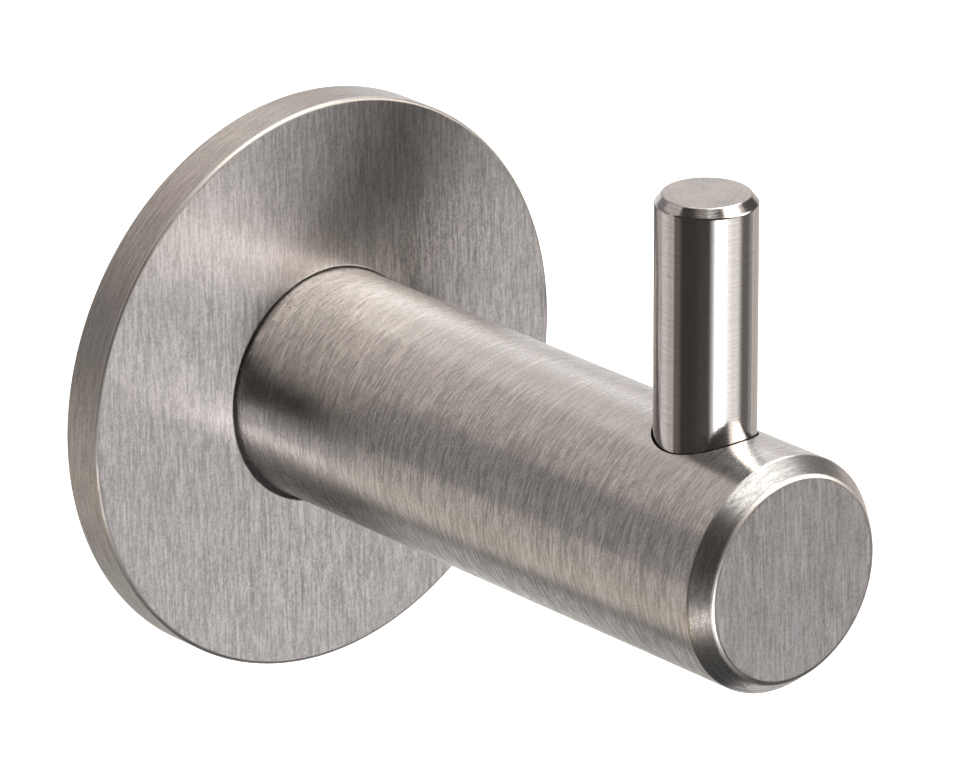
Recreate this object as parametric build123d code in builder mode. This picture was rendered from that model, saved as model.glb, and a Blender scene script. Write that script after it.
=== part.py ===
"""Coat hook: a round bar on a cover rose, with an upright peg and a concealed wall fixing.

Millimetres. The wall is the plane y = 0, the bar's axis runs along Y through the
origin and the hook stands out towards -Y. Z is up.
"""

import os
from math import radians, tan

from build123d import *

# Cover rose
rose_diameter = 50.0
rose_thickness = 4.0
rose_rim_break = 0.3  # front edge of the rim
rose_back_break = 0.2  # edge of the rim that meets the wall
rose_drop = 0.12  # the loose rose hangs this far below the bar's axis
rose_seat_depth = 0.9  # shallow seat in the front face that takes the bar's rear end
rose_seat_break = 0.15  # edge of that seat

# Bar
bar_diameter = 20.0
bar_reach = 61.8  # from the wall to the bar's end face
bar_nose_length = 1.7  # chamfer at the front end, along the bar
bar_nose_depth = 1.3  # chamfer at the front end, across the bar
bar_nose_round = 0.25  # rounding between that chamfer and the end face
bar_rear_break = 0.3
bar_seat_clearance = 0.25  # around the bar in the rose's seat

# Peg
peg_diameter = 8.4
peg_setback = 10.6  # from the bar's end face to the peg's axis
peg_rise = 20.0  # above the top of the bar
peg_top_length = 0.75  # chamfer at the top, along the peg
peg_top_depth = 0.6  # chamfer at the top, across the peg
peg_seat_depth = 2.5  # how far the peg is let into the bar
peg_seat_clearance = 0.15
peg_stub_diameter = 5.0  # screwed stub under the peg
peg_stub_length = 7.0
peg_stub_break = 0.5
peg_stub_clearance = 0.05
peg_stub_end_room = 1.0

# Wall plate
plate_diameter = 42.0
plate_thickness = 2.0
plate_edge_break = 0.2
plate_rim_clearance = 0.5  # around the plate in the rose
plate_face_clearance = 0.2  # in front of the plate
wall_screw_spacing = 28.0
wall_screw_hole = 4.0
wall_screw_head = 7.2
wall_screw_angle = 90.0

# Spigot
spigot_diameter = 12.0
spigot_length = 14.0  # in front of the plate
spigot_tip_break = 0.8
spigot_hole_clearance = 0.2  # in the rose's web
spigot_bore_clearance = 0.1  # in the bar
spigot_end_room = 1.0
tenon_diameter = 7.0  # riveted into the plate
tenon_clearance = 0.02
groove_depth = 1.0
groove_distance = 9.0  # from the plate's front to the middle of the groove

# Grub screw
grub_diameter = 4.0
grub_recess = 0.45  # from the bar's underside to the screw's outer end
grub_point_angle = 90.0  # the groove has the same angle
grub_point_flat = 1.0  # across the blunt tip
grub_socket = 2.0  # across the flats
grub_socket_depth = 1.6
grub_clearance = 0.05

# Radii and places that follow from the sizes above
rose_radius = rose_diameter / 2
bar_radius = bar_diameter / 2
peg_radius = peg_diameter / 2
stub_radius = peg_stub_diameter / 2
plate_radius = plate_diameter / 2
spigot_radius = spigot_diameter / 2
tenon_radius = tenon_diameter / 2
grub_radius = grub_diameter / 2
grub_tip_radius = grub_point_flat / 2

rose_recess_depth = plate_thickness + plate_face_clearance
bar_rear_y = rose_seat_depth - rose_thickness
bar_end_y = -bar_reach
peg_axis_y = bar_end_y + peg_setback
peg_foot_z = bar_radius - peg_seat_depth
peg_top_z = bar_radius + peg_rise
spigot_tip_y = -(plate_thickness + spigot_length)
groove_y = -(plate_thickness + groove_distance)
groove_radius = spigot_radius - groove_depth
point_slope = tan(radians(grub_point_angle / 2))
groove_half_width = groove_depth * point_slope
grub_tip_z = -(groove_radius + grub_tip_radius / point_slope + grub_clearance)
grub_cone_z = grub_tip_z - (grub_radius - grub_tip_radius) / point_slope
grub_head_z = grub_recess - bar_radius

# Planes that face the front, with the wall as their base
rose_back = Plane(origin=(0, 0, -rose_drop), x_dir=(1, 0, 0), z_dir=(0, -1, 0))
plate_back = Plane.XZ
from_base = (Align.CENTER, Align.CENTER, Align.MIN)

os.makedirs("parts", exist_ok=True)


# Cover rose: a disc with a back recess for the plate and a front seat for the bar
with BuildPart() as cover_rose:
    with Locations(rose_back):
        Cylinder(rose_radius, rose_thickness, align=from_base)
    rims = cover_rose.edges().filter_by(GeomType.CIRCLE).sort_by(Axis.Y)
    chamfer(rims[0], rose_rim_break)
    chamfer(rims[-1], rose_back_break)
    with BuildSketch(rose_back):
        Circle(plate_radius + plate_rim_clearance)
    extrude(amount=rose_recess_depth, mode=Mode.SUBTRACT)
    with Locations(rose_back.offset(rose_thickness)):
        CounterBoreHole(
            radius=spigot_radius + spigot_hole_clearance,
            counter_bore_radius=bar_radius + bar_seat_clearance,
            counter_bore_depth=rose_seat_depth,
        )
    front_face = cover_rose.faces().filter_by(Plane.XZ).sort_by(Axis.Y)[0]
    seat_mouth = front_face.edges().sort_by(SortBy.LENGTH)[0]
    chamfer(seat_mouth, rose_seat_break)
cover_rose.part.label = "cover_rose"


# Bar: turned round bar, bored behind for the spigot and drilled for peg and grub screw
with BuildPart() as hook_bar:
    with BuildSketch(Plane.XY):
        with BuildLine():
            Polyline(
                (0, bar_rear_y),
                (bar_radius - bar_rear_break, bar_rear_y),
                (bar_radius, bar_rear_y - bar_rear_break),
                (bar_radius, bar_end_y + bar_nose_length),
                (bar_radius - bar_nose_depth, bar_end_y),
                (0, bar_end_y),
                close=True,
            )
        make_face()
    revolve(axis=Axis.Y)
    nose_edge = hook_bar.edges().filter_by(GeomType.CIRCLE).sort_by(Axis.Y)[0]
    fillet(nose_edge, bar_nose_round)
    with Locations(Plane(origin=(0, bar_rear_y, 0), z_dir=(0, 1, 0))):
        Hole(
            radius=spigot_radius + spigot_bore_clearance,
            depth=bar_rear_y - spigot_tip_y + spigot_end_room,
        )
    with Locations(Plane(origin=(0, peg_axis_y, bar_radius), z_dir=(0, 0, 1))):
        CounterBoreHole(
            radius=stub_radius + peg_stub_clearance,
            counter_bore_radius=peg_radius + peg_seat_clearance,
            counter_bore_depth=peg_seat_depth,
            depth=peg_seat_depth + peg_stub_length + peg_stub_end_room,
        )
    with Locations(Plane(origin=(0, groove_y, -bar_radius), z_dir=(0, 0, -1))):
        Hole(radius=grub_radius + grub_clearance, depth=bar_radius)
hook_bar.part.label = "hook_bar"


# Peg: turned pin that seats on its shoulder, with a screwed stub below
with BuildPart() as peg:
    with BuildSketch(Plane.XZ.offset(-peg_axis_y)):
        with BuildLine():
            Polyline(
                (0, peg_top_z),
                (peg_radius - peg_top_depth, peg_top_z),
                (peg_radius, peg_top_z - peg_top_length),
                (peg_radius, peg_foot_z),
                (stub_radius, peg_foot_z),
                (stub_radius, peg_foot_z - peg_stub_length + peg_stub_break),
                (stub_radius - peg_stub_break, peg_foot_z - peg_stub_length),
                (0, peg_foot_z - peg_stub_length),
                close=True,
            )
        make_face()
    revolve(axis=Axis((0, peg_axis_y, 0), (0, 0, 1)))
peg.part.label = "peg"


# Wall plate: disc with a riveting hole and two countersunk holes for wall screws
with BuildPart() as wall_plate:
    with Locations(plate_back):
        Cylinder(plate_radius, plate_thickness, align=from_base)
    plate_rims = wall_plate.edges().filter_by(GeomType.CIRCLE)
    chamfer(plate_rims, plate_edge_break)
    with Locations(plate_back.offset(plate_thickness)):
        Hole(radius=tenon_radius + tenon_clearance)
        with GridLocations(wall_screw_spacing, 0, 2, 1):
            CounterSinkHole(
                radius=wall_screw_hole / 2,
                counter_sink_radius=wall_screw_head / 2,
                counter_sink_angle=wall_screw_angle,
            )
wall_plate.part.label = "wall_plate"


# Spigot: grooved stub with a tenon that is riveted flush into the plate
with BuildPart() as spigot:
    with BuildSketch(Plane.XY):
        with BuildLine():
            Polyline(
                (0, 0),
                (tenon_radius, 0),
                (tenon_radius, -plate_thickness),
                (spigot_radius, -plate_thickness),
                (spigot_radius, groove_y + groove_half_width),
                (groove_radius, groove_y),
                (spigot_radius, groove_y - groove_half_width),
                (spigot_radius, spigot_tip_y + spigot_tip_break),
                (spigot_radius - spigot_tip_break, spigot_tip_y),
                (0, spigot_tip_y),
                close=True,
            )
        make_face()
    revolve(axis=Axis.Y)
spigot.part.label = "spigot"


# Grub screw: socket set screw whose cone point stands in the spigot's groove
with BuildPart() as grub_screw:
    with BuildSketch(Plane.XZ.offset(-groove_y)):
        with BuildLine():
            Polyline(
                (0, grub_tip_z),
                (grub_tip_radius, grub_tip_z),
                (grub_radius, grub_cone_z),
                (grub_radius, grub_head_z),
                (0, grub_head_z),
                close=True,
            )
        make_face()
    revolve(axis=Axis((0, groove_y, 0), (0, 0, 1)))
    with BuildSketch(Plane(origin=(0, groove_y, grub_head_z), z_dir=(0, 0, 1))):
        RegularPolygon(grub_socket / 2, 6, major_radius=False)
    extrude(amount=grub_socket_depth, mode=Mode.SUBTRACT)
grub_screw.part.label = "grub_screw"


for piece in (cover_rose, hook_bar, peg, wall_plate, spigot, grub_screw):
    export_step(piece.part, f"parts/{piece.part.label}.step")
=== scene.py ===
"""Studio scene of a stainless steel coat hook: a thick bar on a round rose, with an upright peg.

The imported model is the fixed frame. The rose, the bar and the peg are turned again here as
fine meshes of the same form, so that their edges and reflections are smooth. The wall plate,
the spigot and the grub screw keep their solids and only get a finish.
"""

import logging
import math
from dataclasses import dataclass, field
from enum import Enum, IntEnum
from typing import Callable, Sequence, Union

import bmesh
import bpy
from mathutils import Matrix, Vector


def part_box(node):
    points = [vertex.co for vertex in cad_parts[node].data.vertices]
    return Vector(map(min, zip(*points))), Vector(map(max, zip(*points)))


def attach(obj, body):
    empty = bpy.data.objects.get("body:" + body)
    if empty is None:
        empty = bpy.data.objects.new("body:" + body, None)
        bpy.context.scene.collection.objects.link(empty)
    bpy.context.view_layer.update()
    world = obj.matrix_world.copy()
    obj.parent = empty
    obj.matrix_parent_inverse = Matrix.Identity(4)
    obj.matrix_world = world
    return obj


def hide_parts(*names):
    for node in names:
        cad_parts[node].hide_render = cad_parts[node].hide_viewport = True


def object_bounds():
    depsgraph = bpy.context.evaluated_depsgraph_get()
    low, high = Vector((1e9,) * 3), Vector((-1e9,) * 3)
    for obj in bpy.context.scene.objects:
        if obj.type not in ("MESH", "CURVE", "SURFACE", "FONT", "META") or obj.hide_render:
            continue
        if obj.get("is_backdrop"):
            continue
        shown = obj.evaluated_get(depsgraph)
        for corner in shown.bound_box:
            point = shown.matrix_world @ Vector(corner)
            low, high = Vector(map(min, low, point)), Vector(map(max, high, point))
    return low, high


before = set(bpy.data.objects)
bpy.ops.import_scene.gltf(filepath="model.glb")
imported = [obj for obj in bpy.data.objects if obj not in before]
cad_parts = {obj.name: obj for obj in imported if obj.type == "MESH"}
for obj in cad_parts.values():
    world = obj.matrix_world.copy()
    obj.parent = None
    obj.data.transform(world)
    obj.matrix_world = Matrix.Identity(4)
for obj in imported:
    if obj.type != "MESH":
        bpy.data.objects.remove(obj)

LOG = logging.getLogger("coat_hook")
MM = 0.001
BODY = "root"
SAME_PLACE = 1e-6  # mm, between corners of a profile
SAME_RING = 1e-3  # mm, between points of a turned mesh
SAME_POINT = 1e-7  # m, between points that are merged
SKIN = 0.01  # mm, depth within which a face counts as a piece's outer side
SHEET_STEPS = 96  # sides of the studio's round sheets
UP = Vector((0.0, 0.0, 1.0))
TO_FRONT = Vector((0.0, -1.0, 0.0))

Colour = tuple[float, float, float]
Number = Union["Signal", float]
Point = tuple[float, float]


class Signal:
    """A number that varies over a surface: one output socket with Python arithmetic."""

    def __init__(self, graph: "Graph", socket: bpy.types.NodeSocket) -> None:
        """Keeps the socket and the graph that new Math nodes go into.

        Args:
            graph: Graph that owns the socket.
            socket: Output socket that carries the number.
        """
        self.graph = graph
        self.socket = socket

    def __add__(self, other: Number) -> "Signal":
        """Returns self + other."""
        return self.graph.math("ADD", self, other)

    def __radd__(self, other: float) -> "Signal":
        """Returns other + self."""
        return self.graph.math("ADD", other, self)

    def __sub__(self, other: Number) -> "Signal":
        """Returns self - other."""
        return self.graph.math("SUBTRACT", self, other)

    def __rsub__(self, other: float) -> "Signal":
        """Returns other - self."""
        return self.graph.math("SUBTRACT", other, self)

    def __mul__(self, other: Number) -> "Signal":
        """Returns self * other."""
        return self.graph.math("MULTIPLY", self, other)

    def __rmul__(self, other: float) -> "Signal":
        """Returns other * self."""
        return self.graph.math("MULTIPLY", other, self)

    def __truediv__(self, other: Number) -> "Signal":
        """Returns self / other."""
        return self.graph.math("DIVIDE", self, other)

    def __rtruediv__(self, other: float) -> "Signal":
        """Returns other / self."""
        return self.graph.math("DIVIDE", other, self)

    def __abs__(self) -> "Signal":
        """Returns self without its sign."""
        return self.graph.math("ABSOLUTE", self)


class Graph:
    """Adds nodes to one node tree and joins them."""

    def __init__(self, tree: bpy.types.NodeTree) -> None:
        """Starts from an empty tree.

        Args:
            tree: Node tree of a material or of the world.
        """
        self.tree = tree
        tree.nodes.clear()

    def node(
        self,
        kind: str,
        settings: dict[str, object] | None = None,
        sockets: dict[str | int, object] | None = None,
    ) -> bpy.types.Node:
        """Adds one node.

        Args:
            kind: Node type, such as "ShaderNodeTexNoise".
            settings: Properties of the node, set before its sockets.
            sockets: Input name or number, with the value or the output that feeds it.

        Returns:
            The new node.
        """
        made = self.tree.nodes.new(kind)
        for name, value in (settings or {}).items():
            setattr(made, name, value)
        for name, value in (sockets or {}).items():
            self._feed(made.inputs[name], value)
        return made

    def _feed(self, target: bpy.types.NodeSocket, value: object) -> None:
        """Links or sets one input.

        Args:
            target: Input socket.
            value: Signal, output socket or plain value. A colour may have three numbers.
        """
        source = value.socket if isinstance(value, Signal) else value
        if isinstance(source, bpy.types.NodeSocket):
            self.tree.links.new(source, target)
        elif target.type == "RGBA":
            target.default_value = (*source[:3], 1.0)
        else:
            target.default_value = source

    def math(self, operation: str, *values: Number) -> Signal:
        """Adds a Math node.

        Args:
            operation: Operation of the node.
            values: Its numbers, in order.

        Returns:
            The result.
        """
        made = self.node("ShaderNodeMath", {"operation": operation}, dict(enumerate(values)))
        return Signal(self, made.outputs[0])

    def fade(self, value: Number, start: float, end: float) -> Signal:
        """Goes smoothly from 0 to 1 as a value goes from start to end.

        Args:
            value: Number that runs past the two limits.
            start: Where the result is 0.
            end: Where the result is 1.

        Returns:
            The result, from 0 to 1.
        """
        made = self.node(
            "ShaderNodeMapRange",
            {"interpolation_type": "SMOOTHSTEP", "clamp": True},
            {"Value": value, "From Min": start, "From Max": end},
        )
        return Signal(self, made.outputs["Result"])

    def mix(
        self, factor: Number, first: object, second: object, label: str = ""
    ) -> bpy.types.NodeSocket:
        """Mixes two colours.

        Args:
            factor: 0 for the first colour, 1 for the second.
            first: Colour or colour socket.
            second: Colour or colour socket.
            label: What the node is labelled with in the editor.

        Returns:
            The mixed colour's socket.
        """
        made = self.node(
            "ShaderNodeMix",
            {"data_type": "RGBA", "label": label},
            {"Factor": factor, 6: first, 7: second},
        )
        return made.outputs[2]

    def place(self) -> tuple[Signal, Signal, Signal]:
        """Finds where a surface point lies in the object's own frame.

        Returns:
            Its X, Y and Z, in mm.
        """
        source = self.node("ShaderNodeTexCoord").outputs["Object"]
        parts = self.node("ShaderNodeSeparateXYZ", None, {0: source})
        x, y, z = (Signal(self, parts.outputs[name]) for name in "XYZ")
        return x / MM, y / MM, z / MM

    def noise(self, where: Sequence[Number], detail: float = 1.0) -> Signal:
        """Adds a noise with one cell per unit.

        Args:
            where: X, Y and Z that the noise is read at.
            detail: Number of finer layers.

        Returns:
            The noise, about 0.5 on average.
        """
        point = self.node("ShaderNodeCombineXYZ", None, dict(enumerate(where))).outputs[0]
        made = self.node(
            "ShaderNodeTexNoise", None, {"Vector": point, "Scale": 1.0, "Detail": detail}
        )
        return Signal(self, made.outputs[0])


class Lay(Enum):
    """Way that the grinding marks run, with the axis that they cross."""

    UPRIGHT = 0
    ROUND_BAR = 1
    ROUND_PEG = 2


@dataclass(frozen=True)
class Marks:
    """One set of grinding marks.

    Attributes:
        width: Width of a mark, in mm.
        length: Length of a mark, in mm.
        tilt: Slope of the marks against the lay.
        weight: Share of this set in the surface's tone.
        detail: Number of finer layers in the set.
    """

    width: float
    length: float
    tilt: float
    weight: float
    detail: float = 1.0

    def read(self, graph: Graph, place: Sequence[Signal], lay: Lay, shift: float) -> Signal:
        """Draws a noise out along the lay.

        Args:
            graph: Graph of the material.
            place: X, Y and Z of the surface point, in mm.
            lay: Way that the marks run.
            shift: Moves this set away from the others, in cells.

        Returns:
            The marks as a tone, about 0.5 on average.
        """
        across = place[lay.value]
        others = [p for axis, p in enumerate(place) if axis != lay.value]
        leaning = across + (others[0] + others[1]) * self.tilt
        where: list[Number] = [p / self.length + shift for p in place]
        where[lay.value] = leaning / self.width
        return graph.noise(where, self.detail)


GROUND = (
    Marks(0.24, 3.2, 0.02, 0.34),
    Marks(0.21, 0.8, -0.05, 0.26),
    Marks(0.16, 0.2, 0.0, 0.30),
    Marks(0.70, 6.0, 0.0, 0.10),
)
CROSSED = (
    Marks(0.25, 2.2, -0.06, 0.32),
    Marks(0.21, 1.0, 0.10, 0.30),
    Marks(0.16, 0.2, 0.0, 0.26),
    Marks(0.90, 4.0, 0.02, 0.12),
)
FINE = (
    Marks(0.14, 2.4, 0.0, 0.6),
    Marks(0.16, 0.3, 0.0, 0.4),
)
SET_SHIFT = 7.3  # cells between two sets of marks
GLINTING_NICKS = Marks(0.20, 5.0, 0.04, 1.0, 0.0)
GLINTING_NICK_SHIFT = 31.7  # cells
GLINTING_NICK_TONES = (0.64, 0.80)  # where a nick starts to show and where it is full
# Single scratches are real wear, painted near white: the colour is a painted glint for the light
# they catch.
GLINTING_NICK_COLOUR: Colour = (0.92, 0.90, 0.88)
MARK_HEIGHT = 0.03  # mm
MIDDLE_TONE = 0.5
TONE_GAIN = 4.0  # brings the tone's swing of about a quarter to one


@dataclass(frozen=True)
class Steel:
    """A ground stainless steel, whose marks tint it, change its gloss and stand out a little.

    Attributes:
        name: Name of the material.
        lay: Way that the marks run.
        marks: Sets of marks.
        light: Colour of the lightest marks.
        dark: Colour of the darkest marks.
        spread: How far from the middle tone the marks are all dark or all light.
        roughness: Middle roughness.
        gloss_spread: How far the roughness goes up and down. The light marks are the glossy
            ones, or the dull ones where it is negative.
        anisotropy: How far the gloss is drawn out across the marks.
        relief: Strength of the marks' relief, or 0 for none.
        glinting_nicks: Strength of the single scratches, which are real wear with a painted glint.
    """

    name: str
    lay: Lay
    marks: tuple[Marks, ...] = GROUND
    light: Colour = (0.73, 0.71, 0.70)
    dark: Colour = (0.385, 0.375, 0.37)
    spread: float = 0.13
    roughness: float = 0.36
    gloss_spread: float = 0.10
    anisotropy: float = 0.0
    relief: float = 0.2
    glinting_nicks: float = 0.35

    def build(self) -> bpy.types.Material:
        """Builds the finish.

        Returns:
            The material.
        """
        material = bpy.data.materials.new(self.name)
        material.use_nodes = True
        graph = Graph(material.node_tree)
        place = graph.place()
        tone: Number = 0.0
        for number, marks in enumerate(self.marks):
            tone = tone + marks.read(graph, place, self.lay, SET_SHIFT * number) * marks.weight
        # Single scratches with a painted glint: their near-white colour stands in for the light
        # they catch.
        glinting_nick = GLINTING_NICKS.read(graph, place, self.lay, GLINTING_NICK_SHIFT)
        glinting_nick = graph.fade(glinting_nick, *GLINTING_NICK_TONES) * self.glinting_nicks
        shade = graph.fade(tone, MIDDLE_TONE - self.spread, MIDDLE_TONE + self.spread)
        colour = graph.mix(shade, self.dark, self.light)
        colour = graph.mix(glinting_nick, colour, GLINTING_NICK_COLOUR)
        gloss = (MIDDLE_TONE - tone) * (TONE_GAIN * self.gloss_spread)
        inputs: dict[str | int, object] = {
            "Base Color": colour,
            "Metallic": 1.0,
            "Roughness": self.roughness + gloss,
            "Anisotropic": self.anisotropy,
        }
        if self.relief:
            bump = graph.node(
                "ShaderNodeBump",
                None,
                {"Strength": self.relief, "Distance": MARK_HEIGHT * MM, "Height": tone},
            )
            inputs["Normal"] = bump.outputs["Normal"]
        surface = graph.node("ShaderNodeBsdfPrincipled", None, inputs)
        graph.node("ShaderNodeOutputMaterial", None, {"Surface": surface.outputs["BSDF"]})
        return material


@dataclass(frozen=True)
class Axle:
    """Axis that a piece is turned about, with a point on it in mm."""

    way: Vector
    centre: Vector

    def measure(self, point: Vector) -> Point:
        """Measures where a point lies against the axis.

        Args:
            point: Point, in mm.

        Returns:
            Its distance from the axis and its place along it, in mm.
        """
        arm = point - self.centre
        along = arm.dot(self.way)
        return (arm - self.way * along).length, along


@dataclass(frozen=True)
class Corner:
    """A corner of a turned profile that is rounded.

    Attributes:
        radius: Distance of the corner from the axis, in mm.
        along: Place of the corner along the axis, in mm.
        offset: How far the rounding runs from the corner, in mm.
        segments: Number of facets in the rounding.
    """

    radius: float
    along: float
    offset: float
    segments: int = 3

    @property
    def place(self) -> Vector:
        """Returns the corner's distance from the axis and place along it, in mm."""
        return Vector((self.radius, self.along))


@dataclass
class Turned:
    """A turned piece that stands for a CAD node.

    Attributes:
        node: CAD node that it stands for.
        slot: Name of the record's material slot for this piece, which is not used.
        steps: Number of facets round its axis.
        sharp_angle: Angle between two faces from which their edge is sharp, in degrees.
        gloss_way: One direction that all gloss is drawn out along, in degrees from +X to +Y.
            Without it, the gloss runs round the upright axis of the piece.
    """

    node: str
    slot: str
    steps: int = 240
    sharp_angle: float = 27.0
    gloss_way: float | None = None

    @staticmethod
    def guard(
        profile: Sequence[Point], corners: Sequence[Corner], gap: float = 0.03
    ) -> list[Point]:
        """Adds a ring on both sides of each rounded corner, so that the faces beside it stay flat.

        Args:
            profile: Corners of the turned profile, in mm.
            corners: Those that are rounded.
            gap: Distance from the rounding to its ring, in mm.

        Returns:
            The profile with its added rings.
        """
        guarded: list[Point] = []
        for place, point in enumerate(profile):
            here = Vector(point)
            match = next((c for c in corners if (here - c.place).length < SAME_PLACE), None)
            if match is None:
                guarded.append(point)
                continue
            before, after = (
                here + (Vector(profile[other]) - here).normalized() * (match.offset + gap)
                for other in (place - 1, (place + 1) % len(profile))
            )
            guarded += [tuple(before), point, tuple(after)]
        return guarded

    def spin(self, profile: Sequence[Point], axle: Axle) -> bmesh.types.BMesh:
        """Turns a profile into a closed mesh.

        Args:
            profile: Corners as (distance from the axis, place along it), in mm.
            axle: Axis of the piece.

        Returns:
            The turned mesh, in metres.
        """
        side = Vector((1.0, 0.0, 0.0))
        mesh = bmesh.new()
        corners = [
            mesh.verts.new((axle.centre + side * radius + axle.way * along) * MM)
            for radius, along in profile
        ]
        line = [mesh.edges.new(pair) for pair in zip(corners, corners[1:])]
        if profile[0][0] > 0.0:
            line.append(mesh.edges.new((corners[-1], corners[0])))
        bmesh.ops.spin(
            mesh,
            geom=corners + line,
            cent=axle.centre * MM,
            axis=axle.way,
            angle=math.tau,
            steps=self.steps,
            use_merge=True,
        )
        bmesh.ops.remove_doubles(mesh, verts=mesh.verts, dist=SAME_POINT)
        bmesh.ops.recalc_face_normals(mesh, faces=mesh.faces)
        return mesh

    @staticmethod
    def round_corners(mesh: bmesh.types.BMesh, corners: Sequence[Corner], axle: Axle) -> None:
        """Rounds the ring edges at some corners of the profile.

        Args:
            mesh: Turned mesh.
            corners: Corners to round.
            axle: Axis of the piece.
        """
        for corner in corners:
            ring = [
                edge
                for edge in mesh.edges
                if all(
                    (Vector(axle.measure(vert.co / MM)) - corner.place).length < SAME_RING
                    for vert in edge.verts
                )
            ]
            bmesh.ops.bevel(
                mesh,
                geom=ring,
                offset=corner.offset * MM,
                segments=corner.segments,
                profile=0.5,
                affect="EDGES",
                material=-1,
            )

    def mount(
        self,
        mesh: bmesh.types.BMesh,
        finishes: dict[IntEnum, Steel],
        choose: Callable[[Vector, Vector], IntEnum],
    ) -> bpy.types.Object:
        """Makes the mesh a dressed object that stands for its CAD node.

        Args:
            mesh: Finished mesh, which is freed.
            finishes: Finish of each kind of face.
            choose: Gives a face's kind from its centre, in mm, and its normal.

        Returns:
            The new object.
        """
        for face in mesh.faces:
            face.smooth = True
            face.material_index = choose(face.calc_center_median() / MM, face.normal)
        for edge in mesh.edges:
            edge.smooth = edge.calc_face_angle(0.0) < math.radians(self.sharp_angle)
        data = bpy.data.meshes.new(self.node + "_turned")
        mesh.to_mesh(data)
        mesh.free()
        for kind in sorted(finishes):
            data.materials.append(finishes[kind].build())
        if self.gloss_way is not None:
            self._lay_gloss(data, self.gloss_way)
        piece = bpy.data.objects.new(self.node + "_turned", data)
        bpy.context.scene.collection.objects.link(piece)
        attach(piece, BODY)
        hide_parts(self.node)
        LOG.info("%s: %d faces", piece.name, len(data.polygons))
        return piece

    @staticmethod
    def _lay_gloss(data: bpy.types.Mesh, way: float) -> None:
        """Gives a mesh one even gloss direction by a texture space far to one side.

        Args:
            data: Mesh to change.
            way: Direction in the XY plane, in degrees from +X towards +Y.
        """
        far = 1000.0
        angle = math.radians(way)
        data.use_auto_texspace = False
        data.texspace_location = (-far * math.sin(angle), far * math.cos(angle), 0.0)
        data.texspace_size = (1.0, 1.0, 1.0)


class RoseFace(IntEnum):
    """Kinds of face on the rose."""

    FRONT = 0
    RIM = 1
    EDGE = 2
    INSIDE = 3
    BACK = 4


@dataclass
class Rose(Turned):
    """The cover rose: a disc with a seat for the bar in front and a recess behind."""

    node: str = "cover_rose"
    slot: str = "rose_steel"
    gloss_way: float | None = 0.0
    seat_radius: float = 10.25
    seat_depth: float = 0.9
    seat_break: float = 0.15
    web_hole: float = 6.2
    recess_radius: float = 21.5
    recess_depth: float = 2.2
    rim_break: float = 0.3
    back_break: float = 0.2
    radius: float = field(init=False)
    thickness: float = field(init=False)
    axle: Axle = field(init=False)

    def __post_init__(self) -> None:
        """Takes the outer sizes and the place from the frame."""
        low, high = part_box(self.node)
        self.radius = (high.x - low.x) / 2 / MM
        self.thickness = (high.y - low.y) / MM
        centre = Vector((0.0, 0.0, (high.z + low.z) / 2 / MM))
        self.axle = Axle(TO_FRONT, centre)

    def build(self) -> bpy.types.Object:
        """Turns and dresses the rose.

        Returns:
            The rose.
        """
        front = self.thickness
        floor = front - self.seat_depth
        profile = [
            (self.recess_radius, 0.0),
            (self.radius, 0.0),
            (self.radius, front),
            (self.seat_radius, front),
            (self.seat_radius, floor),
            (self.web_hole, floor),
            (self.web_hole, self.recess_depth),
            (self.recess_radius, self.recess_depth),
        ]
        corners = [
            Corner(self.radius, front, self.rim_break),
            Corner(self.radius, 0.0, self.back_break),
            Corner(self.seat_radius, front, self.seat_break),
        ]
        mesh = self.spin(self.guard(profile, corners), self.axle)
        self.round_corners(mesh, corners, self.axle)
        finishes = {
            RoseFace.FRONT: Steel(
                "rose_face",
                Lay.UPRIGHT,
                spread=0.18,
                roughness=0.40,
                gloss_spread=-0.10,
                anisotropy=1.0,
                relief=0.06,
            ),
            # The rim's darker copy of the steel is painted shade: its darker colours stand in for
            # how dim the rim looks under this light.
            RoseFace.RIM: Steel(
                "rose_rim_painted_shade",
                Lay.ROUND_BAR,
                FINE,
                light=(0.59, 0.565, 0.54),
                dark=(0.31, 0.29, 0.275),
                spread=0.35,
                roughness=0.34,
                glinting_nicks=0.0,
            ),
            # The rim edge's lighter copy of the steel is a painted highlight: its colours stand in
            # for the bright line along the rim's front edge.
            RoseFace.EDGE: Steel(
                "rose_edge_painted_highlight",
                Lay.ROUND_BAR,
                FINE,
                light=(0.74, 0.72, 0.70),
                dark=(0.54, 0.53, 0.51),
                spread=0.35,
                roughness=0.39,
                glinting_nicks=0.0,
            ),
            RoseFace.INSIDE: Steel(
                "rose_inside", Lay.ROUND_BAR, FINE, spread=0.35, roughness=0.40, glinting_nicks=0.0
            ),
            RoseFace.BACK: Steel(
                "rose_back", Lay.UPRIGHT, spread=0.18, roughness=0.42, glinting_nicks=0.0
            ),
        }
        return self.mount(mesh, finishes, self._kind_of)

    def _kind_of(self, centre: Vector, normal: Vector) -> RoseFace:
        """Tells what kind a face is.

        Args:
            centre: Middle of the face, in mm.
            normal: Its normal, which the rose doesn't need.

        Returns:
            Its kind.
        """
        distance, along = self.axle.measure(centre)
        if along > self.thickness - SAME_RING:
            return RoseFace.FRONT
        if along < SAME_RING:
            return RoseFace.BACK
        if distance > self.radius - SKIN:
            return RoseFace.RIM
        return RoseFace.EDGE if distance > self.radius - self.rim_break else RoseFace.INSIDE


class BarFace(IntEnum):
    """Kinds of face on the bar."""

    SIDE = 0
    NOSE = 1
    END = 2
    BORE = 3
    EDGE = 4


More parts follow.
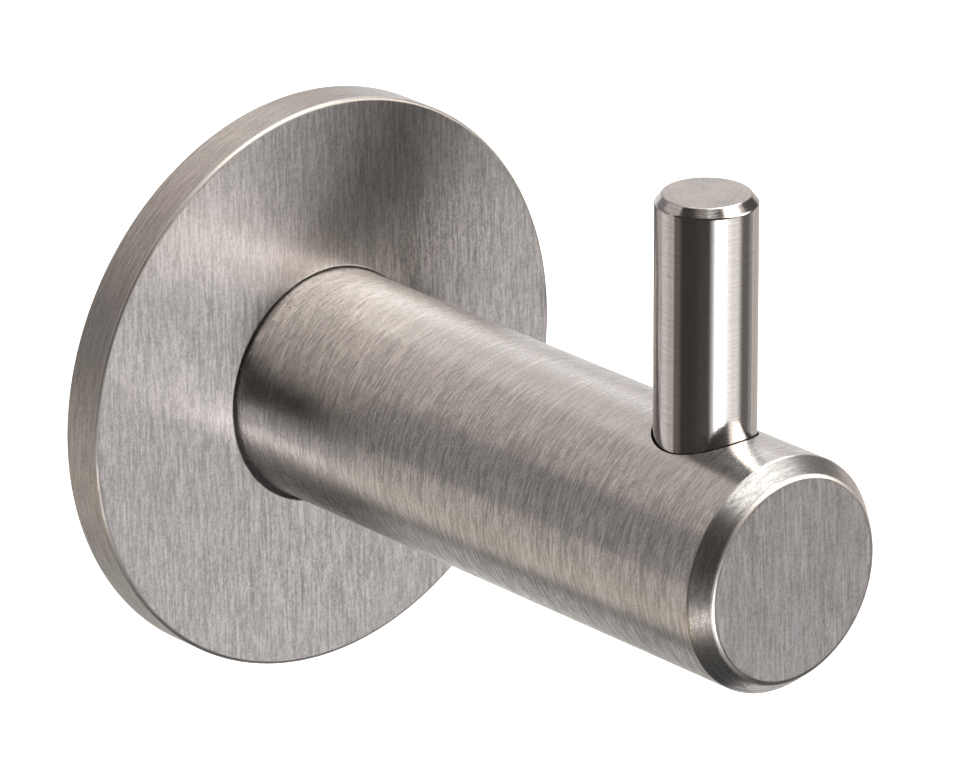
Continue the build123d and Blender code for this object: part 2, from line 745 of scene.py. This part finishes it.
@dataclass
class Bar(Turned):
    """The hook's bar: chamfered nose, seat for the peg, bore for the spigot, screw hole below.

    A hole's number of steps leaves no point of it on the bar's own mesh lines. The two facings
    say how far a face looks to the front before it counts as the nose or as the nose's edge.
    """

    node: str = "hook_bar"
    slot: str = "bar_steel"
    gloss_way: float | None = 84.0
    nose_length: float = 1.7
    nose_depth: float = 1.3
    nose_round: float = 0.25
    shoulder_round: float = 0.12
    rear_break: float = 0.3
    bore_radius: float = 6.1
    bore_end: float = 17.0
    ring_pitch: float = 2.0
    screw_radius: float = 2.05
    screw_along: float = 11.0
    screw_reach: float = 15.0
    hole_steps: int = 90
    nose_facing: float = 0.1
    edge_facing: float = 0.65
    radius: float = field(init=False)
    rear: float = field(init=False)
    end: float = field(init=False)
    axle: Axle = field(init=False)

    def __post_init__(self) -> None:
        """Takes the outer sizes from the frame."""
        low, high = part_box(self.node)
        self.radius = (high.x - low.x) / 2 / MM
        self.rear = -high.y / MM
        self.end = -low.y / MM
        self.axle = Axle(TO_FRONT, Vector((0.0, 0.0, 0.0)))

    def build(self, peg: "Peg") -> bpy.types.Object:
        """Turns, drills and dresses the bar.

        Args:
            peg: Peg whose seat is cut into the bar.

        Returns:
            The bar.
        """
        shoulder = self.end - self.nose_length
        count = round((shoulder - self.rear) / self.ring_pitch)
        pitch = (shoulder - self.rear) / count
        profile = [
            (0.0, self.bore_end),
            (self.bore_radius, self.bore_end),
            (self.bore_radius, self.rear),
            *((self.radius, self.rear + pitch * ring) for ring in range(count + 1)),
            (self.radius - self.nose_depth, self.end),
            (0.0, self.end),
        ]
        corners = [
            Corner(self.radius, self.rear, self.rear_break, segments=1),
            Corner(self.radius, shoulder, self.shoulder_round, segments=2),
            Corner(self.radius - self.nose_depth, self.end, self.nose_round),
        ]
        mesh = self.spin(self.guard(profile, corners), self.axle)
        self.round_corners(mesh, corners, self.axle)
        mesh = self._drill(mesh, peg)
        finishes = {
            BarFace.SIDE: Steel(
                "bar_side",
                Lay.ROUND_BAR,
                CROSSED,
                spread=0.22,
                roughness=0.27,
                anisotropy=0.85,
                relief=0.12,
            ),
            BarFace.NOSE: Steel("bar_nose", Lay.ROUND_BAR, CROSSED, roughness=0.29, relief=0.4),
            # The end face's darker copy of the steel is painted shade: its darker colours stand in
            # for how dim the end looks under this light.
            BarFace.END: Steel(
                "bar_end_painted_shade",
                Lay.UPRIGHT,
                light=(0.60, 0.585, 0.58),
                dark=(0.29, 0.28, 0.275),
                spread=0.15,
                roughness=0.38,
                anisotropy=1.0,
                relief=0.0,
            ),
            BarFace.BORE: Steel(
                "bar_bore", Lay.ROUND_BAR, FINE, spread=0.35, roughness=0.40, glinting_nicks=0.0
            ),
            # The nose edge's lighter copy of the steel is a painted highlight: its colours stand
            # in for the bright line that the rounding catches.
            BarFace.EDGE: Steel(
                "bar_edge_painted_highlight",
                Lay.ROUND_BAR,
                FINE,
                light=(0.80, 0.78, 0.76),
                dark=(0.60, 0.59, 0.57),
                spread=0.35,
                roughness=0.36,
                glinting_nicks=0.0,
            ),
        }
        return self.mount(mesh, finishes, self._kind_of)

    def _drill(self, mesh: bmesh.types.BMesh, peg: "Peg") -> bmesh.types.BMesh:
        """Cuts the peg's seat and the grub screw's hole.

        Args:
            mesh: Turned bar, which is freed.
            peg: Peg whose seat is cut.

        Returns:
            The drilled mesh.
        """
        screw_axle = Axle(-UP, TO_FRONT * self.screw_along)
        screw = [
            (0.0, 0.0),
            (self.screw_radius, 0.0),
            (self.screw_radius, self.screw_reach),
            (0.0, self.screw_reach),
        ]
        cutter = Turned("cutter", "", self.hole_steps)
        tools = [
            self._loose_object("bar_blank", mesh),
            self._loose_object("peg_seat", cutter.spin(peg.seat_profile(), peg.axle)),
            self._loose_object("screw_hole", cutter.spin(screw, screw_axle)),
        ]
        blank = tools[0]
        for tool in tools[1:]:
            cut = blank.modifiers.new(tool.name, "BOOLEAN")
            cut.operation = "DIFFERENCE"
            cut.solver = "EXACT"
            cut.object = tool
        bpy.context.view_layer.update()
        drilled = bmesh.new()
        drilled.from_object(blank, bpy.context.evaluated_depsgraph_get())
        for tool in tools:
            data = tool.data
            bpy.data.objects.remove(tool)
            bpy.data.meshes.remove(data)
        return drilled

    @staticmethod
    def _loose_object(name: str, mesh: bmesh.types.BMesh) -> bpy.types.Object:
        """Makes a mesh an object of its own.

        Args:
            name: Name of the object.
            mesh: Mesh to take, which is freed.

        Returns:
            The object.
        """
        data = bpy.data.meshes.new(name)
        mesh.to_mesh(data)
        mesh.free()
        made = bpy.data.objects.new(name, data)
        bpy.context.scene.collection.objects.link(made)
        return made

    def _kind_of(self, centre: Vector, normal: Vector) -> BarFace:
        """Tells what kind a face is.

        Args:
            centre: Middle of the face, in mm.
            normal: Its normal.

        Returns:
            Its kind.
        """
        distance, along = self.axle.measure(centre)
        facing = normal.dot(self.axle.way)
        if along > self.end - SAME_RING:
            return BarFace.END
        if along > self.end - self.nose_round and facing > self.edge_facing:
            return BarFace.EDGE
        if along > self.end - self.nose_length and facing > self.nose_facing:
            return BarFace.NOSE
        return BarFace.SIDE if distance > self.radius - SKIN else BarFace.BORE


class PegFace(IntEnum):
    """Kinds of face on the peg."""

    SIDE = 0
    CHAMFER = 1
    TOP = 2


@dataclass
class Peg(Turned):
    """The upright peg with its chamfered top and the screwed stub below."""

    node: str = "peg"
    slot: str = "peg_steel"
    top_length: float = 0.75
    top_depth: float = 0.6
    corner_round: float = 0.08
    shoulder: float = 7.5
    stub_radius: float = 2.5
    stub_break: float = 0.5
    seat_clearance: float = 0.15
    stub_clearance: float = 0.05
    stub_room: float = 1.0
    top_facing: float = 0.99
    radius: float = field(init=False)
    foot: float = field(init=False)
    top: float = field(init=False)
    axle: Axle = field(init=False)

    def __post_init__(self) -> None:
        """Takes the outer sizes and the place from the frame."""
        low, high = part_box(self.node)
        self.radius = (high.x - low.x) / 2 / MM
        self.foot = low.z / MM
        self.top = high.z / MM
        self.axle = Axle(UP, Vector((0.0, (high.y + low.y) / 2 / MM, 0.0)))

    def seat_profile(self) -> list[Point]:
        """Draws the stepped hole that the peg stands in.

        Returns:
            Its profile, which goes on up to the peg's top.
        """
        seat = self.radius + self.seat_clearance
        hole = self.stub_radius + self.stub_clearance
        bottom = self.foot - self.stub_room
        return [
            (0.0, bottom),
            (hole, bottom),
            (hole, self.shoulder),
            (seat, self.shoulder),
            (seat, self.top),
            (0.0, self.top),
        ]

    def build(self) -> bpy.types.Object:
        """Turns and dresses the peg.

        Returns:
            The peg.
        """
        neck = self.top - self.top_length
        profile = [
            (0.0, self.foot),
            (self.stub_radius - self.stub_break, self.foot),
            (self.stub_radius, self.foot + self.stub_break),
            (self.stub_radius, self.shoulder),
            (self.radius, self.shoulder),
            (self.radius, neck),
            (self.radius - self.top_depth, self.top),
            (0.0, self.top),
        ]
        corners = [
            Corner(self.radius, neck, self.corner_round, segments=2),
            Corner(self.radius - self.top_depth, self.top, self.corner_round, segments=2),
        ]
        mesh = self.spin(self.guard(profile, corners), self.axle)
        self.round_corners(mesh, corners, self.axle)
        finishes = {
            PegFace.SIDE: Steel(
                "peg_side",
                Lay.ROUND_PEG,
                FINE,
                light=(0.65, 0.635, 0.625),
                dark=(0.47, 0.46, 0.45),
                spread=0.45,
                roughness=0.11,
                gloss_spread=0.025,
                relief=0.1,
                glinting_nicks=0.0,
            ),
            PegFace.CHAMFER: Steel(
                "peg_chamfer",
                Lay.ROUND_PEG,
                FINE,
                spread=0.45,
                roughness=0.14,
                relief=0.1,
                glinting_nicks=0.0,
            ),
            PegFace.TOP: Steel(
                "peg_top", Lay.ROUND_PEG, FINE, spread=0.35, roughness=0.38, glinting_nicks=0.0
            ),
        }
        return self.mount(mesh, finishes, self._kind_of)

    def _kind_of(self, centre: Vector, normal: Vector) -> PegFace:
        """Tells what kind a face is.

        Args:
            centre: Middle of the face, in mm.
            normal: Its normal.

        Returns:
            Its kind.
        """
        if normal.dot(self.axle.way) > self.top_facing:
            return PegFace.TOP
        return PegFace.CHAMFER if centre.z > self.top - self.top_length else PegFace.SIDE


@dataclass(frozen=True)
class Fixing:
    """The concealed wall fixing, whose solids keep their shape and get a finish."""

    plate: Steel = Steel("plate_sheet", Lay.UPRIGHT, roughness=0.42, glinting_nicks=0.0)
    spigot: Steel = Steel("spigot_turned", Lay.UPRIGHT, roughness=0.35, glinting_nicks=0.0)
    screw: Steel = Steel("screw_steel", Lay.ROUND_PEG, FINE, roughness=0.40, glinting_nicks=0.0)

    def dress(self) -> None:
        """Gives each solid its finish."""
        for node, steel in (
            ("wall_plate", self.plate),
            ("spigot", self.spigot),
            ("grub_screw", self.screw),
        ):
            material = steel.build()
            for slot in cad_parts[node].material_slots:
                slot.material = material
            LOG.info("%s: %s", node, steel.name)


@dataclass(frozen=True)
class Panel:
    """A soft panel or a dark flag of the studio, as the hook sees it.

    Attributes:
        name: What it is, which labels its node.
        azimuth: Middle of the panel, in degrees from the front, positive to the right.
        elevation: Middle of the panel, in degrees above the horizon.
        half_width: Half of its width, in degrees.
        half_height: Half of its height, in degrees.
        edge: Width of its soft edge, in degrees.
        colour: Its light.
        tilt: Turn of the panel about its middle, in degrees.
    """

    name: str
    azimuth: float
    elevation: float
    half_width: float
    half_height: float
    edge: float
    colour: Colour
    tilt: float = 0.0

    def cover(self, graph: Graph, turn: Signal, rise: Signal) -> Signal:
        """Finds where the panel is.

        Args:
            graph: Graph of the world or of a sheet.
            turn: Azimuth of the direction, in degrees.
            rise: Elevation of the direction, in degrees, or height on a sheet, in mm.

        Returns:
            1 inside the panel and 0 outside, with a soft edge.
        """
        aside = graph.math("WRAP", turn - self.azimuth, 180.0, -180.0)
        above = rise - self.elevation
        cosine, sine = math.cos(math.radians(self.tilt)), math.sin(math.radians(self.tilt))
        along = abs(aside * cosine + above * sine)
        across = abs(above * cosine - aside * sine)
        inside = graph.fade(along, self.half_width + self.edge, self.half_width)
        return inside * graph.fade(across, self.half_height + self.edge, self.half_height)


@dataclass(frozen=True)
class Tent:
    """A thin clear sheet round one piece, lit in a few soft patches that only this piece mirrors.

    Attributes:
        name: What it is.
        centre: Point on its upright axis, in mm, from which its azimuths are seen.
        radius: Distance of the sheet from the axis, in mm.
        panels: Patches, whose elevations and heights are in mm above the centre.
    """

    name: str
    centre: tuple[float, float, float]
    radius: float
    panels: tuple[Panel, ...]

    def build(self, piece: bpy.types.Object) -> None:
        """Hangs the sheet and links its light to the piece.

        Args:
            piece: Piece that mirrors the sheet.
        """
        bottom = min(p.elevation - p.half_height - p.edge for p in self.panels)
        top = max(p.elevation + p.half_height + p.edge for p in self.panels)
        mesh = bmesh.new()
        bmesh.ops.create_cone(
            mesh,
            cap_ends=False,
            segments=SHEET_STEPS,
            radius1=self.radius * MM,
            radius2=self.radius * MM,
            depth=(top - bottom) * MM,
        )
        middle = (top + bottom) / 2 * MM
        bmesh.ops.translate(mesh, verts=mesh.verts, vec=UP * middle)
        data = bpy.data.meshes.new(self.name)
        mesh.to_mesh(data)
        mesh.free()
        data.materials.append(self._sheet())
        tent = bpy.data.objects.new(self.name, data)
        tent.location = Vector(self.centre) * MM
        tent.visible_camera = False
        tent.visible_diffuse = False
        tent.visible_shadow = False
        bpy.context.scene.collection.objects.link(tent)
        lit = bpy.data.collections.new(self.name + "_lit")
        lit.objects.link(piece)
        tent.light_linking.receiver_collection = lit
        tent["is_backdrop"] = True

    def _sheet(self) -> bpy.types.Material:
        """Builds the clear sheet with its soft patches of light.

        Returns:
            The material.
        """
        material = bpy.data.materials.new(self.name + "_sheet")
        material.use_nodes = True
        graph = Graph(material.node_tree)
        x, y, z = graph.place()
        turn = graph.math("ARCTAN2", x, y * -1.0) * math.degrees(1.0)
        colour: object = (0.0, 0.0, 0.0)
        for panel in self.panels:
            colour = graph.mix(panel.cover(graph, turn, z), colour, panel.colour, panel.name)
        clear = graph.node("ShaderNodeBsdfTransparent")
        glow = graph.node("ShaderNodeEmission", None, {"Color": colour, "Strength": 1.0})
        both = graph.node("ShaderNodeAddShader", None, {0: clear.outputs[0], 1: glow.outputs[0]})
        graph.node("ShaderNodeOutputMaterial", None, {"Surface": both.outputs[0]})
        return material


PEG_TENT = Tent(
    "peg_tent",
    (0.0, -51.2, 0.0),
    60.0,
    (
        Panel("left", -107.0, -2.0, 2.0, 15.0, 12.0, (0.14, 0.11, 0.09)),
        Panel("far_left", -152.0, -2.0, 12.0, 15.0, 14.0, (0.24, 0.22, 0.21)),
        Panel("right", 68.0, -2.0, 2.0, 15.0, 15.0, (0.38, 0.37, 0.36)),
        Panel("gap", 44.0, -2.0, 12.0, 15.0, 14.0, (0.15, 0.135, 0.125)),
        Panel("card", 12.0, -2.0, 14.0, 15.0, 18.0, (1.2, 1.13, 1.07)),
        Panel("glow", -9.0, -2.0, 9.0, 15.0, 20.0, (1.6, 1.57, 1.54)),
    ),
)
NOSE_TENT = Tent(
    "nose_tent",
    (0.0, -61.0, 0.0),
    100.0,
    (
        Panel("shelf", -66.0, -28.0, 12.0, 14.0, 26.0, (0.11, 0.105, 0.10)),
        Panel("underside", 154.0, -64.0, 6.0, 5.0, 12.0, (0.62, 0.61, 0.60)),
    ),
)
RIM_TENT = Tent(
    "rim_tent",
    (0.0, 0.0, 0.0),
    100.0,
    (Panel("upper_left", 164.0, 98.0, 16.0, 10.0, 24.0, (0.52, 0.505, 0.49)),),
)


@dataclass(frozen=True)
class Studio:
    """Camera, floor and the soft surround that lights the hook, with lengths in mm."""

    aim: tuple[float, float, float] = (-1.12, -25.0, 6.4)
    azimuth: float = -40.95
    elevation: float = 21.49
    roll: float = -0.21
    distance: float = 666.0
    focal_px: float = 8074.0
    image_width: float = 960.0
    sensor: float = 36.0
    near: float = 10.0
    far: float = 50000.0
    floor_drop: float = 150.0
    floor_radius: float = 3000.0
    paper: Colour = (0.85, 0.85, 0.85)
    paper_glow: float = 0.5
    surround: Colour = (0.68, 0.61, 0.57)
    panels: tuple[Panel, ...] = (
        Panel("ground", 0.0, -71.0, 180.0, 23.0, 8.0, (0.06, 0.06, 0.06)),
        Panel("left_wall", -160.0, 0.5, 25.0, 21.5, 8.0, (0.27, 0.26, 0.26)),
        Panel("left_low", -146.0, -21.5, 20.0, 9.5, 5.0, (0.66, 0.61, 0.57)),
        Panel("warm_table", -100.0, -37.5, 32.0, 9.0, 5.0, (0.67, 0.57, 0.42)),
        Panel("camera_flag", -54.5, 13.5, 60.5, 40.5, 5.0, (0.06, 0.055, 0.05)),
        Panel("front_gap", 40.0, -22.0, 36.5, 23.5, 5.0, (0.05, 0.05, 0.05)),
        Panel("side_flag", 83.0, 21.5, 17.0, 19.5, 8.0, (0.10, 0.10, 0.10)),
        Panel("low_shelf", -28.0, -32.0, 31.0, 2.5, 3.0, (4.2, 4.0, 3.9)),
        Panel("low_key", -10.5, -24.0, 9.5, 6.5, 4.0, (5.2, 5.0, 5.0)),
        Panel("back_low", 165.0, -41.0, 27.0, 11.0, 6.0, (0.66, 0.63, 0.60)),
        Panel("floor_light", 126.0, -56.0, 14.0, 9.0, 8.0, (0.75, 0.73, 0.72)),
        Panel("high_key", 36.5, 29.5, 27.0, 9.5, 7.5, (6.9, 6.3, 5.7), -47.0),
        Panel("top", 72.0, 72.5, 109.0, 13.0, 4.0, (1.84, 1.82, 1.75)),
        Panel("top_right", 105.0, 57.0, 16.0, 9.5, 6.0, (8.0, 8.4, 8.6)),
    )
    backdrop: Panel = Panel("backdrop", 156.0, -10.5, 26.0, 15.0, 8.0, (1.0, 1.0, 1.0))

    def set_camera(self) -> None:
        """Places the camera at the photograph's viewpoint."""
        turn, rise, roll = (math.radians(a) for a in (self.azimuth, self.elevation, self.roll))
        back = Vector(
            (math.sin(turn) * math.cos(rise), -math.cos(turn) * math.cos(rise), math.sin(rise))
        )
        right = UP.cross(back).normalized()
        up = back.cross(right)
        side = right * math.cos(roll) + up * math.sin(roll)
        top = up * math.cos(roll) - right * math.sin(roll)
        data = bpy.data.cameras.new("camera")
        data.sensor_width = self.sensor
        data.lens = self.focal_px * self.sensor / self.image_width
        data.clip_start = self.near * MM
        data.clip_end = self.far * MM
        camera = bpy.data.objects.new("camera", data)
        turned = Matrix((side, top, back)).transposed().to_4x4()
        place = (Vector(self.aim) + back * self.distance) * MM
        camera.matrix_world = Matrix.Translation(place) @ turned
        bpy.context.scene.collection.objects.link(camera)
        bpy.context.scene.camera = camera

    def lay_floor(self) -> None:
        """Adds the pale floor, well below the hook."""
        mesh = bmesh.new()
        bmesh.ops.create_circle(
            mesh, cap_ends=True, segments=SHEET_STEPS, radius=self.floor_radius * MM
        )
        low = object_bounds()[0]
        height = low[2] - self.floor_drop * MM
        bmesh.ops.translate(mesh, verts=mesh.verts, vec=UP * height)
        data = bpy.data.meshes.new("floor")
        mesh.to_mesh(data)
        mesh.free()
        data.materials.append(self._floor_paper())
        floor = bpy.data.objects.new("floor", data)
        floor.visible_glossy = False
        floor.visible_shadow = False
        bpy.context.scene.collection.objects.link(floor)
        floor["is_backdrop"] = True

    @staticmethod
    def _rays(graph: Graph) -> tuple[Signal, Signal, Signal]:
        """Tells kinds of rays apart.

        Args:
            graph: Graph of the floor or the world.

        Returns:
            1 for camera rays, 1 for glossy rays and 1 for rays through glass.
        """
        path = graph.node("ShaderNodeLightPath")
        camera, glossy, clear = (
            Signal(graph, path.outputs[name])
            for name in ("Is Camera Ray", "Is Glossy Ray", "Is Transmission Ray")
        )
        return camera, glossy, clear

    def _floor_paper(self) -> bpy.types.Material:
        """Builds the floor's white paper, which still takes the hook's shadow.

        Returns:
            The material.
        """
        material = bpy.data.materials.new("floor_paper")
        material.use_nodes = True
        graph = Graph(material.node_tree)
        paper = graph.node("ShaderNodeBsdfDiffuse", None, {"Color": self.paper})
        glow = graph.node("ShaderNodeEmission", None, {"Strength": self.paper_glow})
        lit = graph.node("ShaderNodeAddShader", None, {0: paper.outputs[0], 1: glow.outputs[0]})
        camera, glossy, clear = self._rays(graph)
        seen = graph.math("MINIMUM", camera + glossy + clear, 1.0)
        mixed = graph.node(
            "ShaderNodeMixShader", None, {0: seen, 1: paper.outputs[0], 2: lit.outputs[0]}
        )
        graph.node("ShaderNodeOutputMaterial", None, {"Surface": mixed.outputs[0]})
        return material

    def light(self) -> None:
        """Builds the surround of soft panels and flags as the world."""
        world = bpy.data.worlds.new("studio")
        bpy.context.scene.world = world
        world.use_nodes = True
        graph = Graph(world.node_tree)
        way = graph.node("ShaderNodeTexCoord").outputs["Generated"]
        parts = graph.node("ShaderNodeSeparateXYZ", None, {0: way})
        x, y, z = (Signal(graph, parts.outputs[name]) for name in "XYZ")
        turn = graph.math("ARCTAN2", x, y * -1.0) * math.degrees(1.0)
        rise = graph.math("ARCSINE", z) * math.degrees(1.0)
        colour: object = self.surround
        for panel in self.panels:
            cover = panel.cover(graph, turn, rise)
            colour = graph.mix(cover, colour, panel.colour, panel.name)
        surround = graph.node("ShaderNodeBackground", None, {"Color": colour, "Strength": 1.0})
        white = graph.node(
            "ShaderNodeBackground", {"label": self.backdrop.name}, {"Color": self.backdrop.colour}
        )
        camera, glossy, clear = self._rays(graph)
        mirrored = glossy * self.backdrop.cover(graph, turn, rise)
        seen = graph.math("MINIMUM", camera + clear + mirrored, 1.0)
        mixed = graph.node(
            "ShaderNodeMixShader", None, {0: seen, 1: surround.outputs[0], 2: white.outputs[0]}
        )
        graph.node("ShaderNodeOutputWorld", None, {"Surface": mixed.outputs[0]})


def main() -> None:
    """Builds the hook's pieces, dresses them and sets up the studio."""
    logging.basicConfig(level=logging.INFO, format="%(name)s %(message)s")
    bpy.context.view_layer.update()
    peg = Peg()
    RIM_TENT.build(Rose().build())
    NOSE_TENT.build(Bar().build(peg))
    PEG_TENT.build(peg.build())
    Fixing().dress()
    studio = Studio()
    studio.set_camera()
    studio.lay_floor()
    studio.light()
    bpy.context.scene.view_settings.view_transform = "Standard"


if __name__ == "__main__":
    main()
